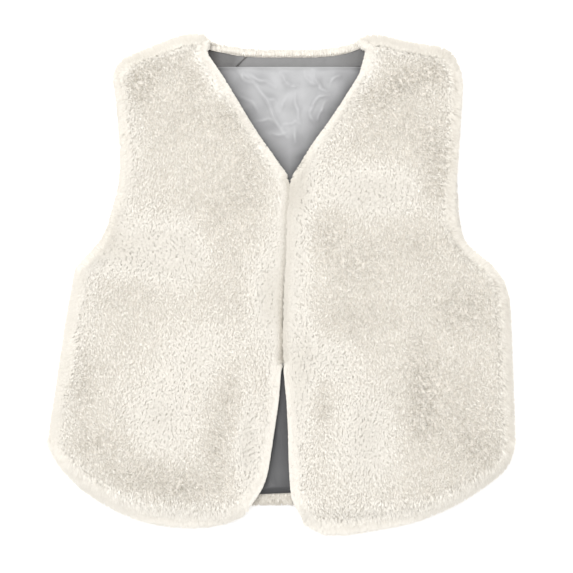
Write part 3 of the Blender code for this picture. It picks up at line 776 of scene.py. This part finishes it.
def rim_strands(solid, outline, fronts, dice, seed):
    """Fur on the back's rim, and on its neck roll and hem strip where no front covers them."""
    ceilings = [front.ceiling() for front in fronts]

    def showing(place, normal):
        chosen = normal[:, 2] > -0.75
        for number in np.flatnonzero(chosen & (normal[:, 2] > 0.3)):
            spot = place[number]
            distance = outline.tree.find((spot[0], spot[1], 0))[2]
            strip = NECK_ROLL if spot[1] > 0.17 else HEM_STRIP
            covered = any(ceiling.ray_cast(spot, (0, 0, 1))[0] for ceiling in ceilings)
            chosen[number] = distance < (COVERED_RIM if covered else strip)
        return chosen

    place, normal = tufts_on(solid, BACK_TUFT_SPACING, showing, seed)
    across, height = place[:, 0], place[:, 1]
    distance, towards = outline.nearest(place, normal)
    outward = against_the_comb(towards)
    lean = combed(place, normal, distance, towards, outward, outward, 0.3, seed) * ROLL_PILE_LEAN
    outermost = towards[:, 1] * np.sign(height) > -0.2
    # Painted shade: the hem strip darker, and the neck roll's and hem strip's inner edges darker near the
    # centre; painted light: the side rims paler; the rest is random tone
    tone = 0.40 - 0.32 * eased(-0.16, -0.18, height) + 0.10 * dice.normal(0, 1, len(place))
    tone += 0.3 * eased(0.08, 0.10, np.abs(across))
    tone -= 0.3 * ~outermost * (np.abs(across) < 0.055)
    inner = (7.0 * eased(0.052, 0.066, across) * (height > 0.17) - 2.0) * MM
    overhang = towards * np.where(outermost, ROLL_OVERHANG, inner)[:, None]
    width = np.full(len(place), STRAND_HALF_WIDTH * 1.2)
    nap = even_nap(place, lean, width, tone, overhang, unit(normal * 0.3 + 0.9 * UP),
                   depth=ROLL_PILE_DEPTH, foot=0.4, gather=0.5, calm=0.7, uneven=0.2, grain=0.12)
    return plush_strands(place, normal, nap, seed, ROLL_TUFT_STRANDS)


def underside_strands(solid, outline, dice, seed):
    """Short, sparse fur pressed flat under the back."""
    place, normal = tufts_on(solid, UNDERSIDE_SPACING, lambda place, normal: normal[:, 2] <= -0.75, seed)
    distance, towards = outline.nearest(place, normal)
    outward = np.full(len(place), 0.3)
    lean = combed(place, normal, distance, towards, outward, outward, 0.4, seed)
    lean *= np.minimum(UNDERSIDE_LEAN, 0.8 * distance)[:, None]
    tone = 0.5 + 0.1 * dice.normal(0, 1, len(place))
    width = np.full(len(place), STRAND_HALF_WIDTH * 1.5)
    nap = even_nap(place, lean, width, tone, 0 * towards, normal,
                   depth=UNDERSIDE_DEPTH, foot=0.3, gather=0.2, calm=0.3, uneven=0.2, grain=0.1)
    return plush_strands(place, normal, nap, seed, fineness=1.2)


def back_pile(solid, outline, fronts, material, seed):
    """Fur on the back's rim, its neck roll and hem strip, and pressed fur on its underside."""
    dice = np.random.default_rng(seed)
    rim = rim_strands(solid, outline, fronts, dice, seed)
    below = underside_strands(solid, outline, dice, seed + 1)
    return split_pile("back_pile", together(rim, below), 1, material)


def edge_reader(solid, axis, sign):
    """For a flat sheet: where its outline lies on one side, read across the other axis."""
    tree = solid.ceiling()
    low, high = solid.points.min(0), solid.points.max(0)
    level = FACE_HEIGHT - LINING_THICKNESS / 2

    def read(across):
        start = [0, 0, level]
        start[1 - axis] = across
        start[axis] = high[axis] + 1 if sign > 0 else low[axis] - 1
        way = [0, 0, 0]
        way[axis] = -sign
        hit = tree.ray_cast(start, way)[0]
        return hit[axis] if hit else None

    samples = np.linspace(low[1 - axis] + 0.1 * MM, high[1 - axis] - 0.1 * MM, 160)
    found = [(spot, value) for spot in samples if (value := read(spot)) is not None]
    spots, values = np.array(found).T
    return lambda across: np.interp(across, spots, values)


def satin_grid(solid, lines, shares, axis):
    """Plan places of a flat sheet's grid: straight lines across one axis that end at its outline."""
    low, high = solid.points.min(0)[1 - axis] + 0.1 * MM, solid.points.max(0)[1 - axis] - 0.1 * MM
    level = (low + (high - low) * lines)[:, None] + np.zeros(len(shares))
    start, end = edge_reader(solid, axis, -1)(level), edge_reader(solid, axis, 1)(level)
    along = start + (end - start) * shares
    return (level, along) if axis else (along, level)


def creased(x, y):
    """The satin's creases along wavering routes: how far they lift it, and how bright their crests are
    painted, as highlights.
    """
    dice = np.random.default_rng(SEED)
    marks, smoothings = 48, 14
    place = np.stack([x, y], -1)[..., None, :]
    rise, crest = np.zeros_like(x), np.zeros_like(x)
    for crease in CREASES:
        route = np.array(crease.route) * MM
        steps = np.linspace(0, len(route) - 1, marks)
        line = np.stack([np.interp(steps, range(len(route)), values) for values in route.T], 1)
        for _ in range(smoothings):
            line[1:-1] = (line[:-2] + 2 * line[1:-1] + line[2:]) / 4
        waver = 0.7 * MM * np.sin(steps * dice.uniform(2.5, 4.5) + dice.uniform(0, 6))
        line += np.stack([waver, np.roll(waver, 9)], 1)
        away = np.linalg.norm(place - line, axis=-1)
        fade = np.sin(np.pi * np.clip(steps / steps[-1], 0.04, 0.96)) ** 0.8
        fade *= 1 - 0.4 * np.sin(steps * dice.uniform(2, 5)) ** 2
        broad = (fade * np.exp(-((away / (2.1 * crease.half_width * MM)) ** 2))).max(-1)
        narrow = (fade * np.exp(-((away / (0.55 * crease.half_width * MM)) ** 2))).max(-1)
        rise += crease.rise * MM * (0.8 * broad + 1.0 * narrow)
        # How strongly each crest is painted bright, as a highlight
        crest += crease.rise * narrow
    return rise, crest


def satin_sheet(name, node, x, y, z, painted_light_and_shade, material):
    """A thin satin sheet through a grid of points, which carries how bright it lies: its painted light and
    shade.
    """
    columns, rows = x.shape
    index = np.arange(columns * rows).reshape(columns, rows)
    corners = index[:-1, :-1], index[:-1, 1:], index[1:, 1:], index[1:, :-1]
    faces = list(zip(*(corner.ravel().tolist() for corner in corners)))
    mesh = bpy.data.meshes.new(name)
    mesh.from_pydata(np.stack([x, y, z], -1).reshape(-1, 3).tolist(), [], faces)
    mesh.shade_smooth()
    # The sheet's painted light and shade, kept as a point attribute that the satin reads
    mesh.attributes.new("painted_light_and_shade", "FLOAT", "POINT").data.foreach_set("value", painted_light_and_shade.ravel())
    piece = new_piece(name, mesh, material)
    thicken = piece.modifiers.new("thickness", "SOLIDIFY")
    thicken.thickness = SATIN_THICKNESS
    thicken.offset = -1
    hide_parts(node)
    return piece


def openness(x, y, fronts, outlines):
    """How open to the light the satin lies: from 0 under a front to nearly 1 well away from its edge."""
    under = [front.ceiling() for front in fronts]
    rim = np.concatenate([outline.rim for outline in outlines])
    tree = KDTree(len(rim))
    for number, (across, height, _) in enumerate(rim):
        tree.insert((across, height, 0), number)
    tree.balance()
    spots = np.stack([x, y], -1).reshape(-1, 2)
    away = np.array([tree.find((across, height, 0))[2] for across, height in spots])
    for number, (across, height) in enumerate(spots):
        if any(front.ray_cast((across, height, FACE_HEIGHT), (0, 0, 1))[0] for front in under):
            away[number] = -away[number]
    return (1 - np.exp(-np.maximum(away, 0) / FRONT_SHADE)).reshape(x.shape)


def lining(fronts, outlines):
    """The back lining: a sheet with a turned top edge, and a finer grid where its creases show, painted
    darker as shade under and near the fronts and low down, with painted highlights on its crease crests.
    """
    solid = Solid("back_lining")
    sides, neck = np.linspace(0, 0.22, 10)[:-1], np.linspace(0.22, 0.78, 140)
    columns = np.concatenate([sides, neck, 1 - sides[::-1]])
    low, high, turn = np.linspace(0, 0.74, 44)[:-1], np.linspace(0.74, 0.994, 84), [0.9964, 0.998, 0.9992, 1]
    rows = np.concatenate([low, high, turn])
    x, y = satin_grid(solid, rows, columns, 0)
    y = y - 0.9 * MM * eased(6 * MM, 0, y - solid.points[:, 1].min())
    rise, crest = creased(x, y)
    spots = np.stack([x, y], -1).reshape(-1, 2)
    z = FACE_HEIGHT + rise + 0.10 * MM * drift(spots, 9 * MM, 5).reshape(x.shape)
    fold = solid.points[:, 1].max() - y
    z += 0.9 * MM * np.exp(-((fold / (2.2 * MM)) ** 2)) - 0.8 * MM * np.exp(-((fold / (0.35 * MM)) ** 2))
    # Painted shade: darker under and near the fronts and towards the bottom, and a little paler again at the
    # very bottom
    painted_light_and_shade = (0.20 + 0.80 * openness(x, y, fronts, outlines)) * (0.16 + 0.82 * eased(-0.02, 0.14, y))
    painted_light_and_shade *= 0.88 + 0.12 * eased(0.100, 0.135, y)
    painted_light_and_shade += 0.05 * eased(-0.120, -0.150, y)
    # Painted highlights along the crease crests, and soft patches of painted sheen, in the upper lining
    painted_light_and_shade += (0.40 * crest + 0.05 * drift(spots, 16 * MM, 6).reshape(x.shape)) * eased(0.07, 0.13, y)
    material = satin_finish("grey satin lining", shade(0.385, 0.385, 0.39), shade(0.035, 0.035, 0.037))
    return satin_sheet("satin_lining", "back_lining", x, y, z, painted_light_and_shade, material)


def facings():
    """The neck facing and its end piece, in satin painted darker than the lining's as the shade under the
    neck roll, with a slanting seam between them painted dark as shade.
    """
    # The facing's satin colours are the lining's painted darker, as shade under the neck roll; the dark one
    # is painted deep shade
    material = satin_finish("grey satin facing", shade(0.31, 0.31, 0.31), shade(0.02, 0.017, 0.015))
    made = []
    for node, count, seed in (("neck_facing", 110, 8), ("neck_facing_end", 50, 9)):
        solid = Solid(node)
        x, y = satin_grid(solid, np.linspace(0, 1, count), np.linspace(0, 1, 16), 1)
        bottom = eased(3 * MM, 0, y - solid.points[:, 1].min())
        y = y - 1.1 * MM * bottom + 1.2 * MM * np.linspace(0, 1, 16) ** 2
        spot = np.stack([x, y * 0.35], -1).reshape(-1, 2)
        z = FACE_HEIGHT - 0.35 * MM * (1 + bottom) + 0.12 * MM * drift(spot, 7 * MM, seed).reshape(x.shape)
        # Painted shade: darker towards the right end, darker still towards the left end and darkest at its
        # corner, and dark along the slanting seam
        painted_light_and_shade = 0.52 - 0.25 * eased(0.040, 0.070, x)
        painted_light_and_shade -= 0.26 * eased(-0.030, -0.042, x) + 0.30 * eased(-0.048, -0.060, x)
        slant = x - FACING_SEAM_FOOT - FACING_SEAM_LEAN * (y - solid.points[:, 1].min())
        painted_light_and_shade = painted_light_and_shade * (1 - 0.9 * np.exp(-((slant / (1.1 * MM)) ** 2)))
        made.append(satin_sheet(f"satin_{node}", node, x, y, z, painted_light_and_shade, material))
    return made


def floor():
    """The studio floor, far wider than the picture."""
    bpy.ops.mesh.primitive_grid_add(x_subdivisions=8, y_subdivisions=8, size=6)
    sheet = bpy.context.object
    sheet.name = "studio_floor"
    sheet.data.materials.append(floor_finish())


def lamp(name, place, size, power):
    """A round soft light that points at the vest."""
    light = bpy.data.lights.new(name, "AREA")
    light.shape = "DISK"
    light.size = size
    light.energy = power
    holder = bpy.data.objects.new(name, light)
    holder.location = place
    direction = -np.array(place)
    tilt = np.arctan2(np.hypot(direction[0], direction[1]), -direction[2])
    holder.rotation_euler = (tilt, 0, np.arctan2(direction[1], direction[0]) - np.pi / 2)
    bpy.context.scene.collection.objects.link(holder)


def studio():
    """A white room with two soft lights, shown in plain colours."""
    world = bpy.data.worlds.new("white room")
    world.use_nodes = True
    sky = world.node_tree.nodes["Background"]
    sky.inputs["Color"].default_value = (1, 1, 1, 1)
    sky.inputs["Strength"].default_value = 0.80
    bpy.context.scene.world = world
    lamp("key", place=(-0.5, 0.8, 2.3), size=1.2, power=34)
    lamp("overhead", place=(0.1, 0.1, 3.2), size=1.6, power=30)
    bpy.context.scene.view_settings.view_transform = "Standard"


def camera():
    """A long lens straight above, framed as the photograph is."""
    metres_a_pixel, picture_width = 0.84 * MM, 573
    middle_x, middle_y = 4.6 * MM, -0.8 * MM
    height, aim_height = 2.6, 18 * MM
    data = bpy.data.cameras.new("overhead")
    data.sensor_width = 36.0
    data.lens = data.sensor_width * (height - aim_height) / (metres_a_pixel * picture_width)
    holder = bpy.data.objects.new("overhead", data)
    holder.location = (middle_x, middle_y, height)
    bpy.context.scene.collection.objects.link(holder)
    bpy.context.scene.camera = holder


def main():
    backing, pile = backing_finish(), plush_finish()
    solids = {node: Solid(node) for node in ("back_panel", "front_right", "front_left")}
    outlines = {node: Outline(solid, SEED) for node, solid in solids.items()}
    shells = {node: backing_shell(node, solid, outlines[node], backing) for node, solid in solids.items()}
    fronts = [solids["front_right"], solids["front_left"]]
    piles = {"back_panel": back_pile(solids["back_panel"], outlines["back_panel"], fronts, pile, SEED)}
    for number, node in enumerate(("front_right", "front_left"), 1):
        piles[node] = front_pile(node, solids[node], outlines[node], pile, SEED + 10 * number)
    cloth = lining(fronts, [outlines["front_right"], outlines["front_left"]])
    facing, facing_end = facings()
    floor()
    studio()
    camera()


main()
